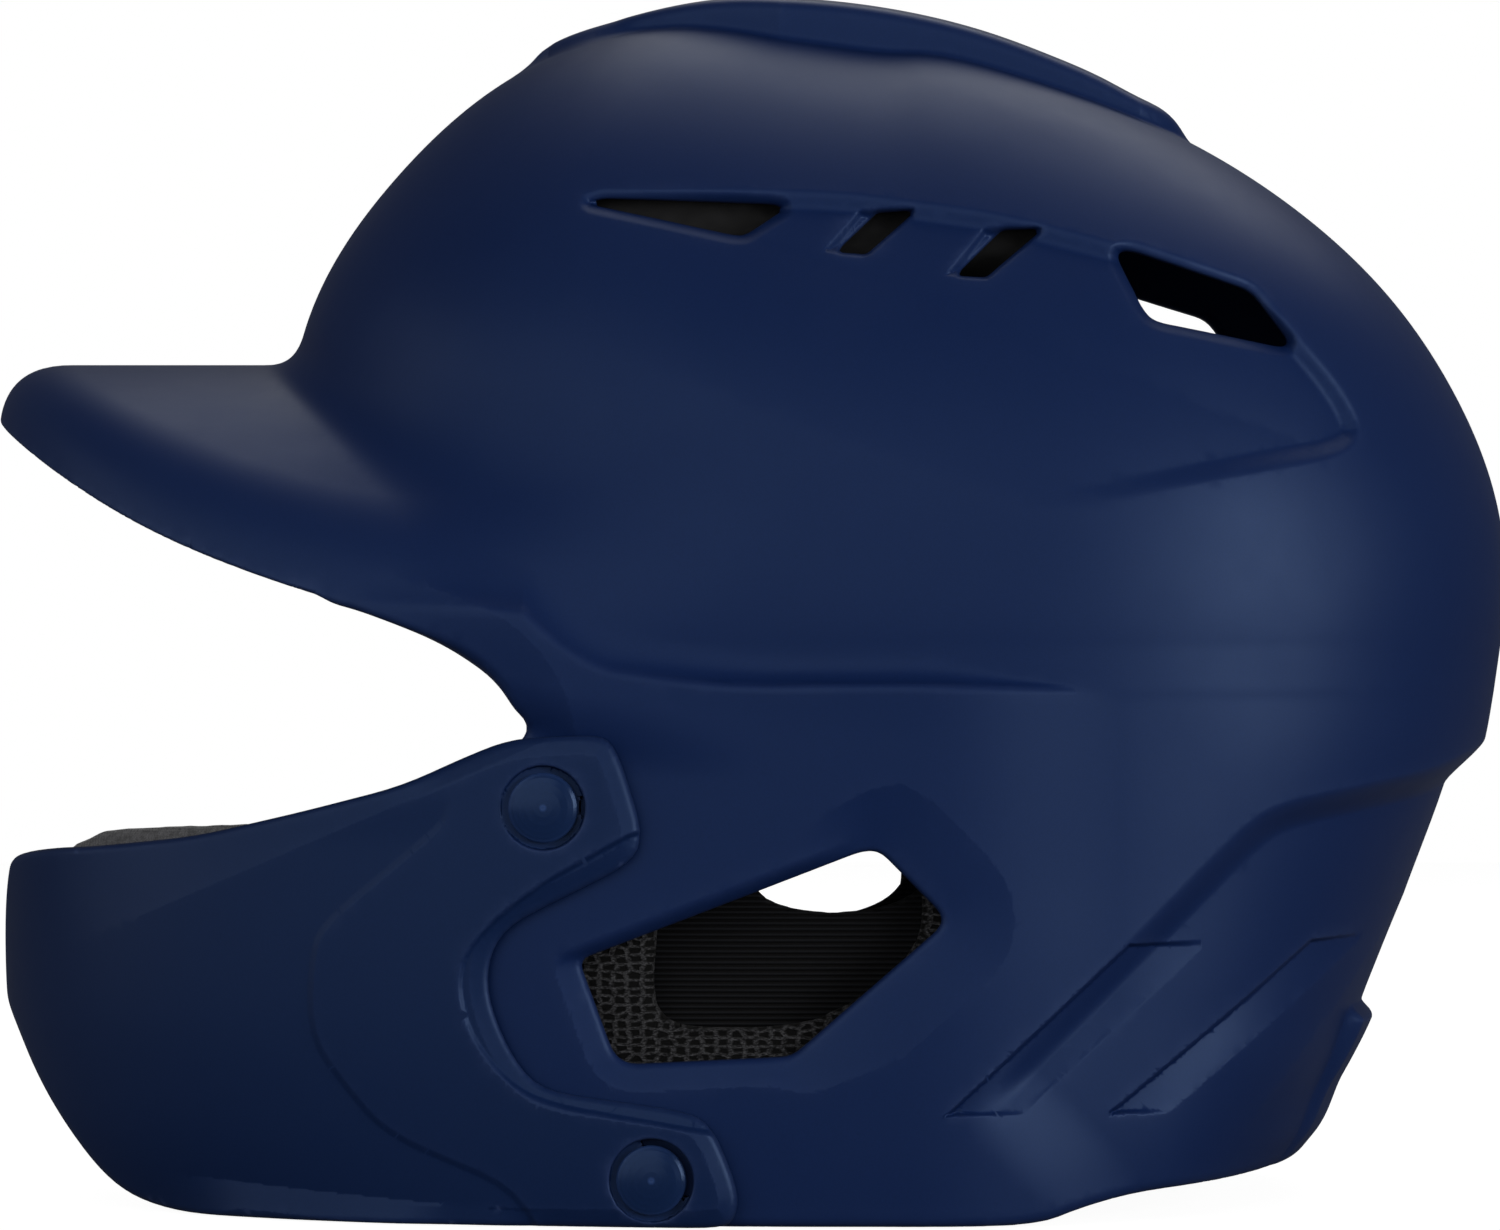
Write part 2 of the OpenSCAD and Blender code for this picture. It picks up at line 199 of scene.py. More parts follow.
# ---------------------------------------------------------------- outlines in x and z
EAR_HOLE = rounded([(-57.9, 49.6), (-5.2, 70), (-1.9, 70), (9.6, 58.4), (9.6, 56), (-18.2, 31.8),
                    (-48.6, 30.2), (-51.4, 32)], 2.2)
SPEAR_VENT = rounded([(-57.2, 192.4), (-54.5, 193.4), (-21.3, 192.1), (-19.4, 191.2), (-26.9, 186),
                      (-29, 186)], 1.6)
SLOT_VENTS = [
    rounded([(-9.2, 182.6), (-8.6, 183.8), (-1.9, 190.4), (4.2, 190.8), (4.9, 190.2), (-4, 182.2)], 0.8),
    rounded([(13.4, 178), (14, 179.2), (21.8, 187), (28.2, 187.2), (28.9, 186.6), (18.6, 177.7)], 0.8)]
SLOT_DISHES = [
    rounded([(-12.6, 182.4), (-12, 183.6), (-5.4, 191.2), (5.2, 191.4), (5.6, 190.4), (-3.6, 181.4)], 1),
    rounded([(10.4, 177.8), (11, 179), (18, 187.6), (29.2, 187.8), (29.8, 186.6), (19, 176.9)], 1)]
REAR_VENT = rounded([(43.4, 182.6), (45.9, 183.2), (69.4, 175.6), (76.8, 165.9), (75.4, 164.8),
                     (50.6, 169.4), (48.5, 171.4)], 2.4)
UPPER_PANEL = rounded([(-70, 180), (-57, 194.6), (-35.4, 195.6), (-7.2, 194.7), (21, 190.7),
                       (45.4, 184.4), (60, 179), (73.6, 173), (86.8, 158.1), (91.6, 148.7), (86.8, 143.6),
                       (58.6, 138.3), (28.5, 131.8), (-20, 120)], 7)
REAR_PANEL = rounded([(150, 96), (120.2, 90.3), (106.6, 85), (94.2, 82.8), (73.2, 79), (66, 74.5),
                      (8, 17.5), (-6, -12), (150, -12)], 9)
FINS = [np.array([(44.7, 52.7), (61.6, 52.9), (24.9, 20.6), (9.6, 20.6)]),
        np.array([(80.8, 52.3), (94.2, 53), (53.6, 20.2), (40.2, 20.2)])]
KEEP = rounded([(-58, 0), (28, 0), (36, 3), (48, 5.6), (84, 7.4), (110, 8), (150, 30), (150, 260),
                (-150, 260), (-150, 152), (-118, 152), (-98, 124), (-76, 107), (-70, 102), (-67, 96),
                (-67.6, 91), (-74, 86), (-79, 77), (-82, 62), (-81, 42), (-74, 22), (-64, 6)], 9)


def rear_recess(x, z):
    """Depth of the wide recess round the back of the head"""
    inside = ease(-outline(REAR_PANEL, x, z) / 6)
    deepest = 3 + 2.6 * ease((x - 60) / 40)
    low = ease((z - 8) / 34)
    return inside * (2 + (deepest - 2) * low) * ease((0.7 * x + 0.7 * z - 22) / 18)


def fin(points, x, z):
    """A shallow ramp that is deepest at its left edge"""
    (top_x, top_z), (low_x, low_z) = points[0], points[3]
    left = top_x + (z - top_z) * (low_x - top_x) / (low_z - top_z)
    fall = np.clip(1 - (x - left) / (points[1][0] - top_x - 1), 0, 1)
    return 1.9 * fall * ease(-outline(points, x, z))


def wide_recess(x, y, z):
    """Depth of the wide recesses, which the liner follows too"""
    depth = rear_recess(x, z)
    # Crease beside the nape, beyond which the wall turns away
    crease = np.maximum(beside((68, 16), (104, 60), x, z), 0)
    depth = depth + 0.22 * np.minimum(crease, 12) * ease((72 - z) / 12) * ease((z - 12) / 12)
    # The foot of the nape draws in
    depth = depth + 5.2 * ease((34 - z) / 34) * ease((x - 52) / 26)
    # The brow falls away a little above the brim
    brow = np.clip(-beside((-96, 146), (-62, 196), x, z), 0, 12)
    depth = depth + 0.035 * brow * ease((z - 140) / 15)
    # Upper panel round the vents
    rear = np.clip((0.35 * x + 0.94 * z - 135) / 30, 0, 1)
    depth = depth + 2.1 * ease(-outline(UPPER_PANEL, x, z) / 4.5) * rear * ease((x + 62) / 36)
    return depth + 0 * y


def recess(x, y, z):
    """Depth of everything that is pressed into the skin"""
    depth = wide_recess(x, y, z) + fin(FINS[0], x, z) + fin(FINS[1], x, z)
    # Sunken edges of the vents and of the ear hole
    for points in SLOT_DISHES:
        depth = depth + 1.5 * ease(-outline(points, x, z) / 2)
    depth = depth + 0.9 * ease(1 - outline(SPEAR_VENT, x, z) / 2.2)
    depth = depth + 0.9 * ease(1 - outline(REAR_VENT, x, z) / 2.2)
    reach = 5 + 8.5 * np.clip((x + 22) / 24, 0, 1)
    above = ease(-beside((-57.9, 49.6), (-5.2, 70), x, z) / 3) * ease((-4 - x) / 14)
    return depth + 2.0 * np.clip(1 - outline(EAR_HOLE, x, z) / reach, 0, 1) * (1 - above)


# Crown ridge
RIDGE_FRONT, RIDGE_REAR, RIDGE_HALF = -66.0, 62.0, 20.5
ridge_top = curve([(-70, 224), (-64, 227), (-56, 231), (-46, 234.2), (-36, 236.2), (-26, 237), (-16, 236.8),
                   (4, 234.4), (14, 232.2), (24, 229.2), (34, 225.4), (44, 221), (52, 216.8), (58, 212.8),
                   (62, 207)], -72, 66)


def ridge(x, y, z):
    widening = np.clip((x - RIDGE_FRONT) / 46, 0, 1) ** 0.6
    narrowing = np.clip((RIDGE_REAR + 1 - x) / 12, 0, 1) ** 0.35
    half = RIDGE_HALF * widening * narrowing
    top = (z - ridge_top(x) + y * y / 190) * 0.92
    ends = np.maximum(RIDGE_FRONT - x, x - RIDGE_REAR)
    sides = soft_max(np.abs(y) - half, ends, 2)
    return soft_max(soft_max(top, sides, 2.4), 200 - z, 1)


# Brim: a sheet bent over one way, with a turned-down rim that runs on to the temples
BRIM_TOP, BRIM_BEND, BRIM_RIM = 163.8, 0.0049, 12.0
BRIM_MIDDLE, BRIM_FRONT, BRIM_BACK, BRIM_HALF = -70.0, 105.6, 90.0, 91.4
# What is kept of the brim and the brow, seen from the side
BRIM_KEEP = rounded([(-185, 152), (-176, 150.5), (-169.6, 146.6), (-158.4, 138.4), (-147.4, 132.2),
                     (-131.3, 125.3), (-111, 118.2), (-91.7, 112.2), (-82, 109), (-75, 105.4),
                     (-70.4, 100.6), (-67.4, 95), (-66.6, 88), (-66.6, 20), (20, 20), (20, 260),
                     (-185, 260)], 9)


def brim(x, y, z):
    u = x - BRIM_MIDDLE
    length = np.where(u < 0, BRIM_FRONT, BRIM_BACK)
    gauge = np.hypot(u / length, y / BRIM_HALF) + 1e-9
    edge = gauge * (gauge - 1) / (np.hypot(u / length ** 2, y / BRIM_HALF ** 2) + 1e-9)
    height = z - BRIM_TOP + BRIM_BEND * y * y
    tilt = np.sqrt(1 + (2 * BRIM_BEND * y) ** 2)
    over = soft_max(height / tilt, edge, 14)
    under = soft_max(height / tilt + 3.6, edge + 3.4, 11)
    rim = BRIM_RIM + 30 * ease((x + 108) / 24)
    sheet = soft_max(soft_max(over, -under, 1), -height - rim, 1.6)
    return soft_max(soft_max(sheet, 98 - z, 6), outline(BRIM_KEEP, x, z), 1.6)


def shell(x, y, z):
    outside = skin(x, y, z) + recess(x, y, z)
    # The wall is thicker where the recess steps in
    step = ease(-outline(REAR_PANEL, x, z) / 6)
    inside = outside + WALL + 6 * step * (1 - step)
    # A lip at the nape, which is thickest at its top
    lip = ease((39 - np.abs(y)) / 4) * ease((38.5 - z) / 4)
    lip = lip * np.clip((z - 4) / 32, 0, 1) * ease((x - 40) / 10)
    outside = soft_min(outside - 4.2 * lip, ridge(x, y, z), 1.4 + 7 * ease((-46 - x) / 20))
    outside = soft_max(outside, outline(KEEP, x, z), 2.2)
    outside = soft_min(outside, brim(x, y, z), 6 + 9 * ease((x + 118) / 40))
    # The rim goes on as a bevel round the face opening
    bevel = np.clip(outline(BRIM_KEEP, x, z) + 8.5, 0, 9) * ease((x + 104) / 24) * ease((z - 86) / 8)
    outside = outside + 0.17 * bevel * ease((-30 - x) / 10)
    solid = soft_max(outside, -inside, 0.9)
    for hole in [EAR_HOLE, SPEAR_VENT, REAR_VENT] + SLOT_VENTS:
        solid = soft_max(solid, -outline(hole, x, z), 1.3)
    for axis in POST_AXES:
        bore = np.maximum(np.hypot(x - axis[0], z - axis[1]) - GROMMET_BORE, y)
        solid = np.maximum(solid, -bore)
    return solid


# ---------------------------------------------------------------- the jaw guard
POST_AXES = [(-64.4, 78.1), (-44.3, 9.0)]
POST_SEATS = [-92.6, -93.1]
GROMMET_BORE, POST_RECESS, POST_BORE = 4.25, 7.8, 3.15
GUARD_GAP, GUARD_WALL = 0.8, 4.0
GUARD = rounded([(-31, 0), (-100, 0), (-136, 0), (-145, 2.2), (-151.5, 6.6), (-158.6, 15), (-164.8, 24),
                 (-170, 34), (-176, 44), (-186, 50), (-184, 54), (-177.4, 60), (-174, 64.5), (-168, 67.6),
                 (-160, 69), (-152, 69.5), (-131, 72), (-110, 77), (-91, 82), (-78, 88), (-70, 91),
                 (-54, 92), (-50.6, 89), (-45.6, 73), (-48, 67.6), (-71, 56), (-74.6, 50), (-74.6, 42),
                 (-70.4, 32), (-65, 25.6), (-38, 22), (-33, 19.4), (-28, 7), (-28.6, 2)], 6)
STRIP = rounded([(-46, 75), (-52.8, 71.4), (-68.5, 62.4), (-79.2, 52.4), (-81, 44.7), (-78.6, 35.4),
                 (-72.2, 27.1), (-64.8, 22.5), (-35.2, 17.6), (-20, 15), (-20, 75)], 8)
FRONT_PANEL = rounded([(-78.7, 77.8), (-91.7, 66.7), (-105.2, 55.6), (-107.4, 50), (-107.8, 35.2),
                       (-101, 26), (-93.6, 17.7), (-68.6, 7.5), (-60, -10), (-190, -10), (-190, 90),
                       (-90, 90)], 8)


def guard(x, y, z):
    off = flap(x, y, z)
    trim = outline(GUARD, x, z)
    lower = 0.9 * ease(-outline(STRIP, x, z) / 1.2)
    lower = lower + 0.5 * ease(-outline(FRONT_PANEL, x, z) / 1.6) * ease((82 - z) / 12)
    # The rear border slopes down to its edge
    lower = lower + 1.3 * np.clip(1 + trim / 3.6, 0, 1) * ease((x + 94) / 14)
    # Two creases, from which the top and the bottom edges turn in
    high = 0.2 * np.clip(-beside((-153, 52), (-86, 81), x, z), 0, 14) * ease((x + 164) / 36)
    low = np.maximum(beside((-139, 8), (-70, 3), x, z), 0) * ease((x + 140) / 20)
    lower = lower + high - 0.42 * np.minimum(low, 5) * ease((-62 - x) / 12)
    solid = soft_max(off - GUARD_GAP - GUARD_WALL + lower, GUARD_GAP - off - high, 1)
    solid = soft_max(solid, trim, 1.5)
    front = y + 21 + 10 * np.abs((z - 36) / 34) ** 4
    solid = soft_max(solid, front, 2.5)
    for axis, seat in zip(POST_AXES, POST_SEATS):
        far = np.hypot(x - axis[0], z - axis[1])
        solid = soft_max(solid, -np.maximum(far - POST_RECESS, y - seat), 0.5)
        solid = np.maximum(solid, POST_BORE - far)
    return solid


# ---------------------------------------------------------------- meshes from fields
def slope(field, points):
    """Value and gradient of a field at scattered points"""
    x, y, z = points.T
    step = 0.04
    value = field(x, y, z)
    ahead = np.stack([field(x + step, y, z), field(x, y + step, z), field(x, y, z + step)], 1)
    return value, (ahead - value[:, None]) / step


def settle(field, points, passes=3, most=1.5):
    """Moves points onto the surface of a field"""
    for _ in range(passes):
        value, grad = slope(field, points)
        move = grad * (value / np.maximum((grad ** 2).sum(1), 0.1))[:, None]
        size = np.linalg.norm(move, axis=1, keepdims=True)
        points = points - move * np.minimum(1, most / np.maximum(size, 1e-9))
    return points


def directions(field, points):
    grad = slope(field, points)[1]
    return grad / np.maximum(np.linalg.norm(grad, axis=1, keepdims=True), 1e-9)


def split_edges(points, triangles, field, turn, shortest):
    """Splits the edges across which the surface turns, so that creases are crisp"""
    normal = directions(field, points)
    count = len(points)
    ends = np.sort(triangles[:, [0, 1, 1, 2, 2, 0]].reshape(-1, 2), axis=1)
    keys, which = np.unique(ends[:, 0].astype(np.int64) * count + ends[:, 1], return_inverse=True)
    a, b = keys // count, keys % count
    bent = (normal[a] * normal[b]).sum(1) < math.cos(math.radians(turn))
    bent &= np.linalg.norm(points[a] - points[b], axis=1) > shortest
    middle = np.full(len(keys), -1)
    middle[bent] = count + np.arange(bent.sum())
    fresh = settle(field, (points[a[bent]] + points[b[bent]]) / 2, passes=2, most=0.8)
    mids = middle[which.reshape(-1)].reshape(-1, 3)
    code = (mids >= 0) @ np.array([1, 2, 4])
    made = [triangles[code == 0]]
    for turn_by in range(3):
        corner = np.roll(triangles, -turn_by, axis=1)
        mid = np.roll(mids, -turn_by, axis=1)
        one = code == 1 << turn_by
        p, q, r = corner[one].T
        m = mid[one, 0]
        made += [np.stack([p, m, r], 1), np.stack([m, q, r], 1)]
        two = code == (1 << turn_by) + (1 << (turn_by + 1) % 3)
        p, q, r = corner[two].T
        m, n = mid[two, 0], mid[two, 1]
        made += [np.stack([m, q, n], 1), np.stack([p, m, n], 1), np.stack([p, n, r], 1)]
    p, q, r = triangles[code == 7].T
    m, n, o = mids[code == 7].T
    made += [np.stack(t, 1) for t in [(p, m, o), (m, q, n), (o, n, r), (m, n, o)]]
    return np.concatenate([points, fresh]), np.concatenate(made)


def skin_mesh(field, low, high, cell):
    """Points and quads of the surface of a field inside a box, before they are settled"""
    axes = [np.arange(low[i], high[i] + cell, cell) for i in range(3)]
    value = field(axes[0][:, None, None], axes[1][None, :, None], axes[2][None, None, :])
    grid = openvdb.FloatGrid(3 * cell)
    grid.copyFromArray(np.clip(value, -3 * cell, 3 * cell).astype(np.float32))
    points, triangles, quads = grid.convertToPolygons(isovalue=0.0, adaptivity=0.0)
    return points.astype(float) * cell + np.array(low), triangles, quads


def new_object(name, points, faces, normals=None):
    mesh = bpy.data.meshes.new(name)
    mesh.from_pydata((np.asarray(points) * MM).tolist(), [], [list(map(int, f)) for f in faces])
    mesh.shade_smooth()
    if normals is not None:
        mesh.normals_split_custom_set_from_vertices(normals.tolist())
    piece = bpy.data.objects.new(name, mesh)
    bpy.context.collection.objects.link(piece)
    return piece


def outward(points, triangles):
    """Triangles whose order makes the volume positive"""
    a, b, c = (points[triangles[:, i]] for i in range(3))
    if (a * np.cross(b, c)).sum() < 0:
        return triangles[:, ::-1]
    return triangles


def make_solid(name, field, low, high, cell=2.0, rounds=2, turn=7, shortest=0.9):
    points, _, quads = skin_mesh(field, low, high, cell)
    points = settle(field, points)
    one = np.linalg.norm(points[quads[:, 0]] - points[quads[:, 2]], axis=1)
    two = np.linalg.norm(points[quads[:, 1]] - points[quads[:, 3]], axis=1)
    short = (one <= two)[:, None]
    triangles = np.concatenate([np.where(short, quads[:, [0, 1, 2]], quads[:, [0, 1, 3]]),
                                np.where(short, quads[:, [0, 2, 3]], quads[:, [1, 2, 3]])])
    triangles = outward(points, triangles)
    for _ in range(rounds):
        points, triangles = split_edges(points, triangles, field, turn, shortest)
    return new_object(name, points, triangles, directions(field, points))


# ---------------------------------------------------------------- materials
def new_material(name, colour, roughness, metallic=0.0, specular=0.5, tint=(1, 1, 1)):
    made = bpy.data.materials.new(name)
    made.use_nodes = True
    shader = made.node_tree.nodes["Principled BSDF"]
    shader.inputs["Base Color"].default_value = (*colour, 1)
    shader.inputs["Roughness"].default_value = roughness
    shader.inputs["Metallic"].default_value = metallic
    shader.inputs["Specular IOR Level"].default_value = specular
    shader.inputs["Specular Tint"].default_value = (*tint, 1)
    return made, made.node_tree, shader


def texture(tree, kind, scale, stretch=(1, 1, 1), **settings):
    """A texture node on object coordinates, stretched along the axes"""
    where = tree.nodes.new("ShaderNodeTexCoord")
    mapping = tree.nodes.new("ShaderNodeMapping")
    mapping.inputs["Scale"].default_value = stretch
    node = tree.nodes.new(kind)
    node.inputs["Scale"].default_value = scale
    for key, value in settings.items():
        if key in node.inputs:
            node.inputs[key].default_value = value
        else:
            setattr(node, key, value)
    tree.links.new(where.outputs["Object"], mapping.inputs["Vector"])
    tree.links.new(mapping.outputs["Vector"], node.inputs["Vector"])
    return node


def ramp(tree, source, stops):
    node = tree.nodes.new("ShaderNodeValToRGB")
    while len(node.color_ramp.elements) < len(stops):
        node.color_ramp.elements.new(0.5)
    for element, (place, colour) in zip(node.color_ramp.elements, stops):
        element.position = place
        element.color = (*colour, 1)
    tree.links.new(source, node.inputs["Fac"])
    return node.outputs["Color"]


def grey(value):
    return (value, value, value)


def tinted(colour, factor):
    return tuple(factor * c for c in colour)


def bump(tree, height, strength, distance, after=None):
    node = tree.nodes.new("ShaderNodeBump")
    node.inputs["Strength"].default_value = strength
    node.inputs["Distance"].default_value = distance
    tree.links.new(height, node.inputs["Height"])
    if after:
        tree.links.new(after, node.inputs["Normal"])
    return node.outputs["Normal"]


def moulded_plastic(name, colour, roughness, edge_highlight):
    """Satin moulded plastic: a fine texture from the mould, and convex edges painted a little lighter blue,
    a painted highlight
    """
    made, tree, shader = new_material(name, colour, roughness, specular=0.27, tint=(0.4, 0.6, 1))
    grain = texture(tree, "ShaderNodeTexNoise", 2600, Detail=3.0, Roughness=0.6)
    peel = texture(tree, "ShaderNodeTexNoise", 420, Detail=2.0)
    rough = bump(tree, grain.outputs["Fac"], 0.10, 0.00006)
    tree.links.new(bump(tree, peel.outputs["Fac"], 0.06, 0.0001, rough), shader.inputs["Normal"])
    smears = texture(tree, "ShaderNodeTexNoise", 26, Detail=5.0, Roughness=0.65)
    gloss = ramp(tree, smears.outputs["Fac"], [(0.3, grey(roughness - 0.04)), (0.7, grey(roughness + 0.05))])
    tree.links.new(gloss, shader.inputs["Roughness"])
    # Convex edges get a lighter blue: a painted highlight along the edges
    edges = tree.nodes.new("ShaderNodeNewGeometry")
    highlight_edges = ramp(tree, edges.outputs["Pointiness"], [(0.5, grey(0)), (0.6, grey(1))])
    speck = ramp(tree, grain.outputs["Fac"], [(0.35, tinted(colour, 0.93)), (0.65, tinted(colour, 1.07))])
    mix = tree.nodes.new("ShaderNodeMix")
    mix.data_type = "RGBA"
    tree.links.new(highlight_edges, mix.inputs["Factor"])
    tree.links.new(speck, mix.inputs["A"])
    mix.inputs["B"].default_value = (*edge_highlight, 1)
    tree.links.new(mix.outputs["Result"], shader.inputs["Base Color"])
    return made


def spacer_mesh():
    """Black knitted spacer mesh with oval openings"""
    made, tree, shader = new_material("spacer_mesh", (0.006, 0.006, 0.007), 0.75, specular=0.1)
    cells = texture(tree, "ShaderNodeTexVoronoi", 500, stretch=(0.75, 1, 1.3), feature="DISTANCE_TO_EDGE",
                    voronoi_dimensions="2D", Randomness=0.5)
    cells.inputs["Vector"].links[0].from_node.inputs["Rotation"].default_value = (math.radians(-90), 0, 0)
    threads = texture(tree, "ShaderNodeTexNoise", 1500, stretch=(1, 1, 2.5), Detail=4.0, Roughness=0.7)
    # The oval openings are painted near-black: the black layer beneath the mesh, with painted shade inside
    # the cells
    hole = ramp(tree, cells.outputs["Distance"], [(0.14, grey(1)), (0.26, grey(0))])
    fuzz = ramp(tree, threads.outputs["Fac"], [(0.42, (0.003, 0.003, 0.0035)), (0.72, (0.075, 0.075, 0.08))])
    mix = tree.nodes.new("ShaderNodeMix")
    mix.data_type = "RGBA"
    tree.links.new(hole, mix.inputs["Factor"])
    # Near-black of the openings, partly painted shade
    mix.inputs["A"].default_value = (0.0006, 0.0006, 0.0007, 1)
    tree.links.new(fuzz, mix.inputs["B"])
    tree.links.new(mix.outputs["Result"], shader.inputs["Base Color"])
    fine = bump(tree, threads.outputs["Fac"], 0.5, 0.0003)
    tree.links.new(bump(tree, hole, 0.9, 0.0009, fine), shader.inputs["Normal"])
    shader.inputs["Sheen Weight"].default_value = 0.02
    shader.inputs["Sheen Roughness"].default_value = 0.5
    return made


def striped_lining():
    """Thin black lining with fine woven stripes"""
    made, tree, shader = new_material("striped_lining", (0.01, 0.01, 0.012), 0.7, specular=0.1)
    lines = texture(tree, "ShaderNodeTexWave", 300, stretch=(0.06, 0.06, 1), bands_direction="Z",
                    Distortion=0.6)
    weave = texture(tree, "ShaderNodeTexNoise", 1800, Detail=3.0)
    colour = ramp(tree, lines.outputs["Fac"],
                  [(0.35, (0.0008, 0.0008, 0.001)), (0.9, (0.006, 0.0065, 0.008))])
    tree.links.new(colour, shader.inputs["Base Color"])
    fine = bump(tree, weave.outputs["Fac"], 0.3, 0.0002)
    tree.links.new(bump(tree, lines.outputs["Fac"], 0.6, 0.0004, fine), shader.inputs["Normal"])
    shader.inputs["Sheen Weight"].default_value = 0.01
    return made


def moulded_foam(name, colour, bead):
    """Moulded foam: small beads pressed together"""
    made, tree, shader = new_material(name, colour, 0.85, specular=0.25)
    beads = texture(tree, "ShaderNodeTexVoronoi", bead, feature="SMOOTH_F1", Smoothness=0.6)
    pores = texture(tree, "ShaderNodeTexNoise", 1400, Detail=4.0, Roughness=0.65)
    # Each bead is lighter in its middle and darker towards its edges: painted light on the bead tops and
    # painted shade in the gaps between beads
    tint = ramp(tree, beads.outputs["Distance"], [(0.1, tinted(colour, 1.25)), (0.7, tinted(colour, 0.7))])
    tree.links.new(tint, shader.inputs["Base Color"])
    fine = bump(tree, pores.outputs["Fac"], 0.35, 0.0002)
    tree.links.new(bump(tree, beads.outputs["Distance"], -0.5, 0.0004, fine), shader.inputs["Normal"])
    return made


def knit_face(name, colour):
    """Fine knitted fabric over foam"""
    made, tree, shader = new_material(name, colour, 0.8, specular=0.3)
    ribs = texture(tree, "ShaderNodeTexWave", 520, stretch=(1, 1, 0.2), bands_direction="X", Distortion=0.8)
    cross = texture(tree, "ShaderNodeTexWave", 520, stretch=(0.2, 0.2, 1), bands_direction="Z",
                    Distortion=0.8)
    fuzz = texture(tree, "ShaderNodeTexNoise", 900, Detail=4.0)
    tint = ramp(tree, fuzz.outputs["Fac"], [(0.35, tinted(colour, 0.7)), (0.7, tinted(colour, 1.5))])
    tree.links.new(tint, shader.inputs["Base Color"])
    first = bump(tree, ribs.outputs["Fac"], 0.35, 0.0003)
    tree.links.new(bump(tree, cross.outputs["Fac"], 0.35, 0.0003, first), shader.inputs["Normal"])
    shader.inputs["Sheen Weight"].default_value = 0.25
    shader.inputs["Sheen Roughness"].default_value = 0.45
    return made


def hook_tape():
    made, tree, shader = new_material("hook_tape", (0.012, 0.012, 0.013), 0.6)
    hooks = texture(tree, "ShaderNodeTexVoronoi", 900, feature="F1", Randomness=0.25)
    # Each hook is lighter at its middle and darker between hooks: a painted highlight on the hooks and
    # painted shade between them
    tint = ramp(tree, hooks.outputs["Distance"],
                [(0.15, (0.045, 0.045, 0.05)), (0.5, (0.006, 0.006, 0.007))])
    tree.links.new(tint, shader.inputs["Base Color"])
    tree.links.new(bump(tree, hooks.outputs["Distance"], -0.9, 0.0006), shader.inputs["Normal"])
    return made


def turned_steel():
    made, tree, shader = new_material("turned_steel", (0.56, 0.57, 0.6), 0.3, metallic=1.0)
    rings = texture(tree, "ShaderNodeTexNoise", 900, stretch=(1, 0.05, 1), Detail=3.0)
    gloss = ramp(tree, rings.outputs["Fac"], [(0.3, grey(0.22)), (0.7, grey(0.42))])
    tree.links.new(gloss, shader.inputs["Roughness"])
    tree.links.new(bump(tree, rings.outputs["Fac"], 0.15, 0.0001), shader.inputs["Normal"])
    return made


def soft_rubber():
    made, tree, shader = new_material("soft_rubber", (0.012, 0.012, 0.012), 0.65)
    grain = texture(tree, "ShaderNodeTexNoise", 1600, Detail=3.0)
    tree.links.new(bump(tree, grain.outputs["Fac"], 0.25, 0.0002), shader.inputs["Normal"])
    return made


NAVY = (0.0042, 0.0135, 0.062)
# The last colour given to each plastic is the lighter blue of its painted edge highlight
shell_plastic = moulded_plastic("shell_plastic", NAVY, 0.44, (0.02, 0.035, 0.1))
guard_plastic = moulded_plastic("guard_plastic", (0.0042, 0.0135, 0.056), 0.42, (0.02, 0.035, 0.1))
post_plastic = moulded_plastic("post_plastic", (0.0045, 0.014, 0.052), 0.24, (0.02, 0.045, 0.14))
mesh_fabric = spacer_mesh()
lining_fabric = striped_lining()
# The liner foam is black, and its colour is darker still so that the inside of the shell looks dark through
# the vents: partly the foam's own colour, partly painted shade
liner_foam = moulded_foam("liner_foam", (0.007, 0.007, 0.0075), 300)
guard_foam = knit_face("guard_foam_face", (0.075, 0.075, 0.08))
pad_fabric = knit_face("pad_fabric", (0.012, 0.012, 0.013))
tape = hook_tape()
steel = turned_steel()
rubber = soft_rubber()


def dress(piece, material):
    piece.data.materials.clear()
    piece.data.materials.append(material)


# ---------------------------------------------------------------- hard pieces
helmet_shell = make_solid("helmet_shell", shell, (-178, -99, -4), (128, 99, 241), cell=2.0, rounds=2,
                          turn=8, shortest=0.8)
dress(helmet_shell, shell_plastic)
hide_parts("shell")
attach(helmet_shell, "helmet")

guard_plate = make_solid("guard_plate", guard, (-180, -103, -3), (-24, -8, 95), cell=1.4, rounds=2,
                         turn=6, shortest=0.5)
dress(guard_plate, guard_plastic)
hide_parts("jaw_guard")
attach(guard_plate, "guard")

for node, material in [("upper_post", post_plastic), ("lower_post", post_plastic), ("upper_screw", steel),
                       ("lower_screw", steel), ("screw_washers", steel), ("post_grommets", rubber),
                       ("hook_patches", tape)]:
    dress(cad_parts[node], material)


# ---------------------------------------------------------------- layers inside the shell
LINER_OUT, LINER_IN = 5.2, 15.4
SIDE_LINER_IN = 12.4
PAD_OUT, PAD_IN = 16.9, 24.6
TEMPLE_OUT, TEMPLE_IN = 13.9, 21.0
EAR_OUT, EAR_IN = 5.2, 14.4
COVER_OUT, COVER_IN = 14.2, 15.9
JAW_OUT, JAW_IN = 3.6, 11.3


def node_box(node, margin=5):
    low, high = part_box(node)
    return np.array(low) / MM - margin, np.array(high) / MM + margin


def wrap(angle):
    return (angle + 180) % 360 - 180


def places(x, y, z):
    """Depth below the skin (negative inside), angle round the head and height on the skin, of a point"""
    off = skin(x, y, z) + wide_recess(x, y, z)
    u, w = x - CORE_X, z - CORE_Z
    far = np.sqrt(u * u + y * y + w * w) + 1e-9
    height = np.where(w > 0, CORE_Z + w * (1 - off / far), z)
    return off, np.degrees(np.arctan2(y, u + 0 * z)), height


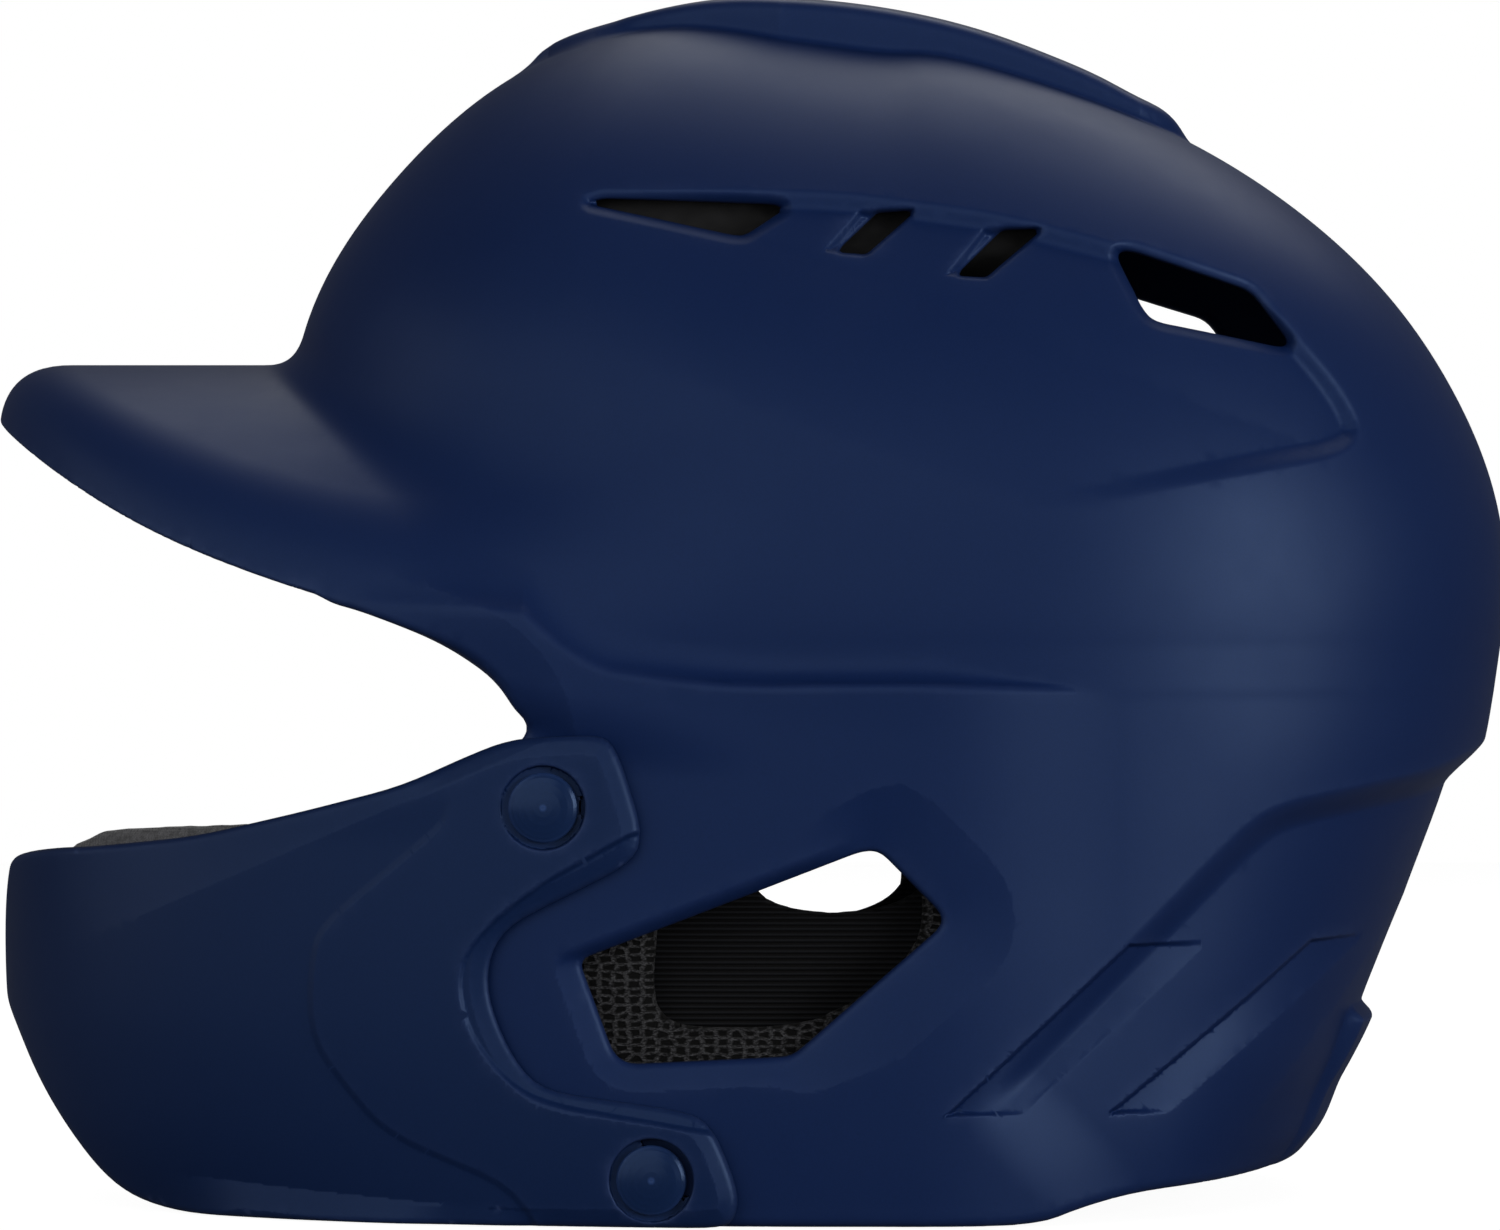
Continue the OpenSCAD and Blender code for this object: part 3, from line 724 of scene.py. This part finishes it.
def layer(angles, heights, outer, inner, corner=4.0):
    """A block between two depths, two angles (0 at the nape, 90 at the right ear) and two heights"""
    middle, half = (angles[0] + angles[1]) / 2, (angles[1] - angles[0]) / 2
    low, high = heights

    def field(x, y, z):
        off, angle, height = places(x, y, z)
        mm_per_degree = math.radians(1) * np.hypot(x - CORE_X, y)
        beyond = (np.abs(wrap(angle - middle)) - half) * mm_per_degree
        above = np.abs(height - (low + high) / 2) - (high - low) / 2
        side = soft_max(beyond, above, 2 * corner)
        return soft_max(soft_max(off + outer, -off - inner, 1), side, corner)
    return field


def groove(field, line, width, depth_from):
    """Cuts a channel into the inner face of a layer, where line(x, y, z) is within a half width"""
    def cut(x, y, z):
        off = places(x, y, z)[0]
        channel = soft_max(np.abs(line(x, y, z)) - width / 2, off + depth_from, 2)
        return soft_max(field(x, y, z), -channel, 2)
    return cut


def crown_cap(x, y, z):
    off, _, height = places(x, y, z)
    body = soft_max(off + LINER_OUT, -off - LINER_IN, 3)
    body = soft_max(body, 187 - height, 3)
    return soft_max(body, -np.maximum(36 - x, z - 199), 3)


def at_y(place):
    return lambda x, y, z: np.abs(y) - place + 0 * x + 0 * z


def at_angle(*angles):
    def line(x, y, z):
        angle = np.degrees(np.arctan2(y, x - CORE_X))
        scale = math.radians(1) * np.hypot(x - CORE_X, y)
        return np.minimum.reduce([np.abs(wrap(angle - a)) * scale for a in angles]) + 0 * z
    return line


def at_height(*heights):
    return lambda x, y, z: np.minimum.reduce([np.abs(z - h) for h in heights]) + 0 * x + 0 * y


def side_liner(low, high, *lines):
    return groove(layer((low, high), (106, 160), LINER_OUT, SIDE_LINER_IN, 4), at_angle(*lines), 7, 8.5)


front_block = layer((151, 209), (156, 178), LINER_OUT, LINER_IN, 3)
rear_block = layer((-56, 56), (58, 158), LINER_OUT, LINER_IN, 4)
LINERS = {
    "crown_liner": groove(groove(crown_cap, at_y(0), 9, 10), at_y(34), 7, 10),
    "front_liner": groove(front_block, at_angle(166, 180, 194), 6, 10),
    "rear_liner": groove(groove(rear_block, at_angle(-46, -24, 0, 24, 46), 7, 10),
                         at_height(76, 147), 6, 11),
    "right_side_liner": side_liner(61, 136, 80, 104),
    "left_side_liner": side_liner(-136, -61, -80, -104),
}
for node, field in LINERS.items():
    low, high = node_box(node)

    def trimmed(x, y, z, field=field):
        return soft_max(field(x, y, z), outline(KEEP, x, z) + 7, 2)
    piece = make_solid(node + "_foam", trimmed, low, high, cell=2.6, rounds=1, turn=12, shortest=1.6)
    dress(piece, liner_foam)
    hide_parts(node)
    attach(piece, "helmet")


# ---------------------------------------------------------------- pads, swollen as cloth
SWELL_FRAMES = 20
PAD_PRESSURE = 4
SEAM_DEPTH, SEAM_WIDTH = 0.9, 1.5


def swell(piece, most):
    """Blows a closed pad up as cloth, and caps how far each point moves"""
    before = np.empty(len(piece.data.vertices) * 3)
    piece.data.vertices.foreach_get("co", before)
    cloth = piece.modifiers.new("cloth", "CLOTH")
    cloth.settings.quality = 4
    cloth.settings.use_pressure = True
    cloth.settings.uniform_pressure_force = PAD_PRESSURE
    cloth.settings.effector_weights.gravity = 0
    cloth.point_cache.frame_start = 1
    cloth.point_cache.frame_end = SWELL_FRAMES
    scene = bpy.context.scene
    for number in range(1, SWELL_FRAMES + 1):
        scene.frame_set(number)
    after = np.empty(len(before))
    piece.evaluated_get(bpy.context.evaluated_depsgraph_get()).data.vertices.foreach_get("co", after)
    piece.modifiers.remove(cloth)
    scene.frame_set(1)
    move = (after - before).reshape(-1, 3)
    size = np.linalg.norm(move, axis=1, keepdims=True)
    move *= np.minimum(1, most * MM / np.maximum(size, 1e-12))
    piece.data.vertices.foreach_set("co", (before.reshape(-1, 3) + move).ravel())
    piece.data.update()


def subdivided(piece):
    """Applies one subdivision and returns the points in millimetres"""
    piece.modifiers.new("round", "SUBSURF").levels = 1
    made = bpy.data.meshes.new_from_object(piece.evaluated_get(bpy.context.evaluated_depsgraph_get()))
    old, piece.data = piece.data, made
    piece.modifiers.clear()
    bpy.data.meshes.remove(old)
    points = np.empty(len(made.vertices) * 3)
    made.vertices.foreach_get("co", points)
    return points.reshape(-1, 3) / MM


def make_pad(name, node, field, material, cell=4.0, most=5.0, outer=None, seam=None):
    low, high = node_box(node)
    points, _, quads = skin_mesh(field, low, high, cell)
    points = settle(field, points, passes=2)
    a, b, c = (points[quads[:, i]] for i in range(3))
    if (a * np.cross(b, c)).sum() < 0:
        quads = quads[:, ::-1]
    piece = new_object(name, points, quads)
    swell(piece, most)
    points = subdivided(piece)
    if seam:
        distance = seam(*points.T)
        normal = np.empty(len(points) * 3)
        piece.data.vertices.foreach_get("normal", normal)
        pinch = SEAM_DEPTH * np.exp(-(distance / SEAM_WIDTH) ** 2)
        points = points - normal.reshape(-1, 3) * pinch[:, None]
    if outer is not None:
        off = places(*points.T)[0]
        toward = directions(skin, points)
        points = points - toward * np.maximum(off + outer, 0)[:, None]
    piece.data.vertices.foreach_set("co", (points * MM).ravel())
    piece.data.update()
    piece.data.shade_smooth()
    dress(piece, material)
    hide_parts(node)
    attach(piece, "helmet")
    return piece


def depth_seam(depth):
    """A seam round the side of a pad, at one depth"""
    return lambda x, y, z: np.abs(places(x, y, z)[0] + depth)


def crown_disc(x, y, z):
    off, _, height = places(x, y, z)
    return soft_max(soft_max(off + PAD_OUT + 0.6, -off - PAD_IN + 1.5, 2), 215.5 - height, 4)


def with_opening(field, opening, corner):
    return lambda x, y, z: soft_max(field(x, y, z), -outline(opening, x, z), corner)


EAR_OPENING = rounded([(-44, 42), (-40, 74), (0, 76), (6, 62), (4, 50), (-14, 38), (-40, 37)], 9)
# The opening in the lining of the left ear, and the lower one on the right
LINING_OPENINGS = {
    "left": rounded([(-26.5, 74), (-26, 64), (-22.6, 60), (-14, 58), (-4, 58.4), (3, 60.4), (7.4, 64),
                     (5, 70), (-10, 75)], 5),
    "right": rounded([(-26.5, 73), (-26, 58), (-22, 51.6), (-14, 49.6), (-4, 50.6), (4, 54), (8, 60),
                      (6, 68), (-10, 74)], 5),
}

make_pad("forehead_cushion", "forehead_pad",
         layer((158, 202), (158, 176), PAD_OUT + 0.8, PAD_IN - 1.2, 4), pad_fabric,
         cell=3.2, outer=PAD_OUT, seam=depth_seam(PAD_OUT + 2.2))
make_pad("crown_cushion", "crown_pad", crown_disc, pad_fabric, cell=3.6, outer=PAD_OUT,
         seam=depth_seam(PAD_OUT + 2.2))
make_pad("rear_cushion", "rear_pad", layer((-37, 37), (85, 137), PAD_OUT + 0.8, PAD_IN - 1.5, 5), pad_fabric,
         cell=3.6, outer=PAD_OUT, seam=depth_seam(PAD_OUT + 2.2))
for side, sign in [("left", -1), ("right", 1)]:
    def both(low, high, sign=sign):
        return (low, high) if sign > 0 else (-high, -low)
    make_pad(side + "_temple_cushion", side + "_temple_pad",
             layer(both(115, 133), (113, 151), TEMPLE_OUT + 0.6, TEMPLE_IN - 1.2, 4), pad_fabric,
             cell=3.2, outer=TEMPLE_OUT, seam=depth_seam(TEMPLE_OUT + 2))
    ear = with_opening(layer(both(76, 129), (25, 97), EAR_OUT + 0.4, EAR_IN - 1.2, 3), EAR_OPENING, 4)
    make_pad(side + "_ear_cushion", side + "_ear_pad", ear, mesh_fabric, cell=3.0,
             most=2.0, outer=EAR_OUT, seam=depth_seam((EAR_OUT + EAR_IN) / 2))
    cover = with_opening(layer(both(76.5, 128), (26, 96), COVER_OUT, COVER_IN, 1), LINING_OPENINGS[side],
                         0.6)
    low, high = node_box(side + "_ear_cover")
    piece = make_solid(side + "_ear_lining", cover, low, high, cell=0.9, rounds=0)
    dress(piece, lining_fabric)
    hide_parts(side + "_ear_cover")
    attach(piece, "helmet")
    make_pad(side + "_jaw_cushion", side + "_jaw_pad",
             layer(both(76, 110), (6, 26), JAW_OUT + 0.4, JAW_IN - 1, 4), pad_fabric, cell=3.2,
             outer=JAW_OUT, seam=depth_seam(JAW_OUT + 2))

FOAM = rounded([(-146, 14), (-87, 12), (-87, 76), (-127, 75.2), (-151, 73), (-160, 67.6), (-165, 52),
                (-160, 30)], 9)


def guard_lining(x, y, z):
    off = flap(x, y, z)
    body = soft_max(off - 0.5, -off - 7.6, 3)
    return soft_max(soft_max(body, outline(FOAM, x, z), 4), y + 38, 4)


foam = make_pad("guard_cushion", "jaw_guard_foam", guard_lining, guard_foam, cell=3.2,
                most=2.0)
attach(foam, "guard")


# ---------------------------------------------------------------- floor and light
def make_floor():
    mesh = bpy.data.meshes.new("floor")
    side = 1.7
    corners = [(-side, -side, 0), (side, -side, 0), (side, side, 0), (-side, side, 0)]
    mesh.from_pydata(corners, [], [(0, 1, 2, 3)])
    floor = bpy.data.objects.new("floor", mesh)
    bpy.context.collection.objects.link(floor)
    floor.location.z = -0.0003
    made, tree, shader = new_material("floor_paint", (0.2, 0.2, 0.2), 0.9, specular=0.1)
    glow = tree.nodes.new("ShaderNodeEmission")
    glow.inputs["Strength"].default_value = 0.95
    ray = tree.nodes.new("ShaderNodeLightPath")
    add = tree.nodes.new("ShaderNodeAddShader")
    mix = tree.nodes.new("ShaderNodeMixShader")
    tree.links.new(shader.outputs["BSDF"], add.inputs[0])
    tree.links.new(glow.outputs["Emission"], add.inputs[1])
    tree.links.new(ray.outputs["Is Camera Ray"], mix.inputs["Fac"])
    tree.links.new(shader.outputs["BSDF"], mix.inputs[1])
    tree.links.new(add.outputs["Shader"], mix.inputs[2])
    tree.links.new(mix.outputs["Shader"], tree.nodes["Material Output"].inputs["Surface"])
    floor.data.materials.append(made)


def area_light(name, place, target, size, power, size_y=None):
    data = bpy.data.lights.new(name, "AREA")
    data.shape = "RECTANGLE"
    data.size = size
    data.size_y = size_y or size
    data.energy = power
    light = bpy.data.objects.new(name, data)
    bpy.context.collection.objects.link(light)
    light.location = place
    turn = np.array(target) - np.array(place)
    light.rotation_euler = Vector(turn).to_track_quat("-Z", "Y").to_euler()
    return light


def make_world():
    world = bpy.data.worlds.new("studio")
    bpy.context.scene.world = world
    world.use_nodes = True
    tree = world.node_tree
    tree.nodes.clear()
    out = tree.nodes.new("ShaderNodeOutputWorld")
    soft = tree.nodes.new("ShaderNodeBackground")
    soft.inputs["Color"].default_value = (1, 1, 1, 1)
    soft.inputs["Strength"].default_value = 0.08
    plain = tree.nodes.new("ShaderNodeBackground")
    plain.inputs["Color"].default_value = (1, 1, 1, 1)
    plain.inputs["Strength"].default_value = 1.0
    ray = tree.nodes.new("ShaderNodeLightPath")
    mix = tree.nodes.new("ShaderNodeMixShader")
    tree.links.new(ray.outputs["Is Camera Ray"], mix.inputs["Fac"])
    tree.links.new(soft.outputs["Background"], mix.inputs[1])
    tree.links.new(plain.outputs["Background"], mix.inputs[2])
    tree.links.new(mix.outputs["Shader"], out.inputs["Surface"])


bpy.context.scene.view_settings.view_transform = "Standard"
make_floor()
make_world()
middle = (-0.02, 0, 0.11)
area_light("overhead", (0.2, 0.6, 1.2), middle, 1.1, 6, size_y=1.1)
area_light("rear_side", (1.1, -1.0, 0.16), middle, 0.9, 20)
area_light("front_fill", (-0.5, -1.5, 0.6), middle, 1.6, 10)
area_light("front_rim", (-1.3, -0.5, 0.3), middle, 1.3, 5)
